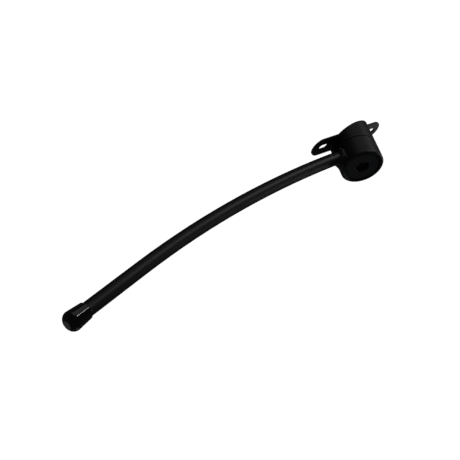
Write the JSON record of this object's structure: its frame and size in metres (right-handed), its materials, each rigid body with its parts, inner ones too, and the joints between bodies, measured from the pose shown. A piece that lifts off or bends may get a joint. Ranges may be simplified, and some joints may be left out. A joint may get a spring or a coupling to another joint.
{
  "type": "pivoting support arm",
  "caption": "Curved black steel arm with a glossy end cap, swinging on a drum pivot set at a slant on a slotted base strap that screws to a flat surface.",
  "frame": {"origin": "middle of the base strap's mounting face, midway between its two slots", "axes": "+X along the strap away from the arm, +Y across it, +Z out of the mounting surface"},
  "size_m": [0.4684, 0.0484, 0.0959],
  "materials": {
    "black_coat": "satin",
    "cap_vinyl": "gloss",
    "cover_plastic": "matt",
    "black_oxide": "satin",
    "bare_steel": "satin",
    "zinc_steel": "satin",
    "spring_steel": "satin",
    "bush_nylon": "matt",
    "seal_rubber": "matt"
  },
  "bodies": {
    "base": {"base_strap": "black_coat", "base_collar": "black_coat", "strap_weld": "black_coat", "collar_web": "bare_steel", "collar_web_weld": "bare_steel", "pivot_post": "bare_steel", "post_weld": "bare_steel", "stop_pin": "zinc_steel", "disc_springs": "spring_steel", "screw_washer": "zinc_steel", "pivot_screw": "black_oxide"},
    "arm": {"drum_shell": "black_coat", "drum_web": "bare_steel", "drum_web_weld": "bare_steel", "rear_bush": "bush_nylon", "front_bush": "bush_nylon", "friction_washer": "zinc_steel", "dust_seal": "seal_rubber", "front_cover": "cover_plastic", "cover_ring": "seal_rubber", "arm_tube": "black_coat", "arm_weld": "black_coat", "arm_end_cap": "cap_vinyl"}
  },
  "joints": [
    {"name": "arm_swing", "type": "hinge", "parent": "base", "child": "arm", "pos_m": [-0.00381, 0, 0.01992], "axis": [-0.3584, 0, 0.9336], "range_deg": [-90, 90]}
  ]
}
